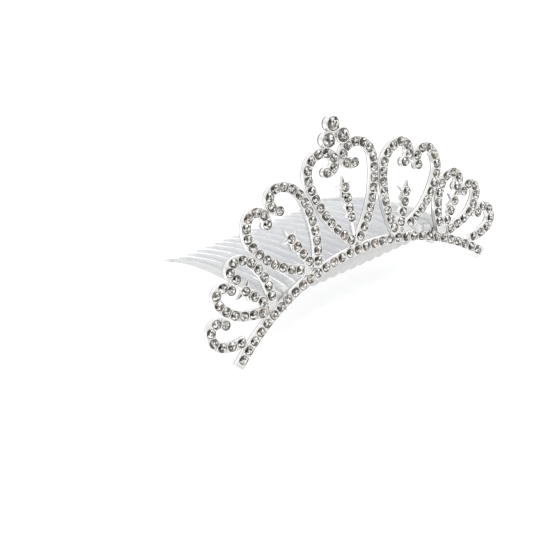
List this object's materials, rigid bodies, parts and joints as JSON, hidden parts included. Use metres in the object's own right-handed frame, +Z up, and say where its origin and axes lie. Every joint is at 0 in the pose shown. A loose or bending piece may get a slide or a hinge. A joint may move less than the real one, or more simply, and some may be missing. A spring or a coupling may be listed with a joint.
{
  "type": "tiara with hair comb",
  "caption": "Heart-scroll tiara on an arched band, set with rows of round cut stones and stars, with a clear hair comb tied behind it.",
  "frame": {"origin": "on the surface that the tiara rests on, under the middle of its bounding box", "axes": "+X to the right along the band as seen from the front, +Y back along the comb, +Z up"},
  "size_m": [0.1058, 0.0674, 0.0562],
  "materials": {
    "silver_plate": "bright silver-coloured plate on a cast alloy",
    "clear_plastic": "clear moulded plastic with a pale grey-lilac cast",
    "tie_wire": "thin drawn wire",
    "cut_stone": "clear cut glass with a foiled back"
  },
  "bodies": {
    "root": {"frame": "silver_plate", "comb": "clear_plastic", "wire_tie_left": "tie_wire", "wire_tie_right": "tie_wire", "band_stones": "cut_stone", "centre_heart_stones": "cut_stone", "centre_stem_stones": "cut_stone", "middle_heart_stones_left": "cut_stone", "middle_heart_stones_right": "cut_stone", "middle_stem_stones_left": "cut_stone", "middle_stem_stones_right": "cut_stone", "small_heart_stones_left": "cut_stone", "small_heart_stones_right": "cut_stone", "small_stem_stones_left": "cut_stone", "small_stem_stones_right": "cut_stone", "end_curl_stones_left": "cut_stone", "end_curl_stones_right": "cut_stone", "crest_stone_top": "cut_stone", "crest_stone_left": "cut_stone", "crest_stone_right": "cut_stone", "star_stone_centre": "cut_stone", "star_stone_middle_left": "cut_stone", "star_stone_middle_right": "cut_stone", "star_stone_small_left": "cut_stone", "star_stone_small_right": "cut_stone"}
  },
  "joints": []
}
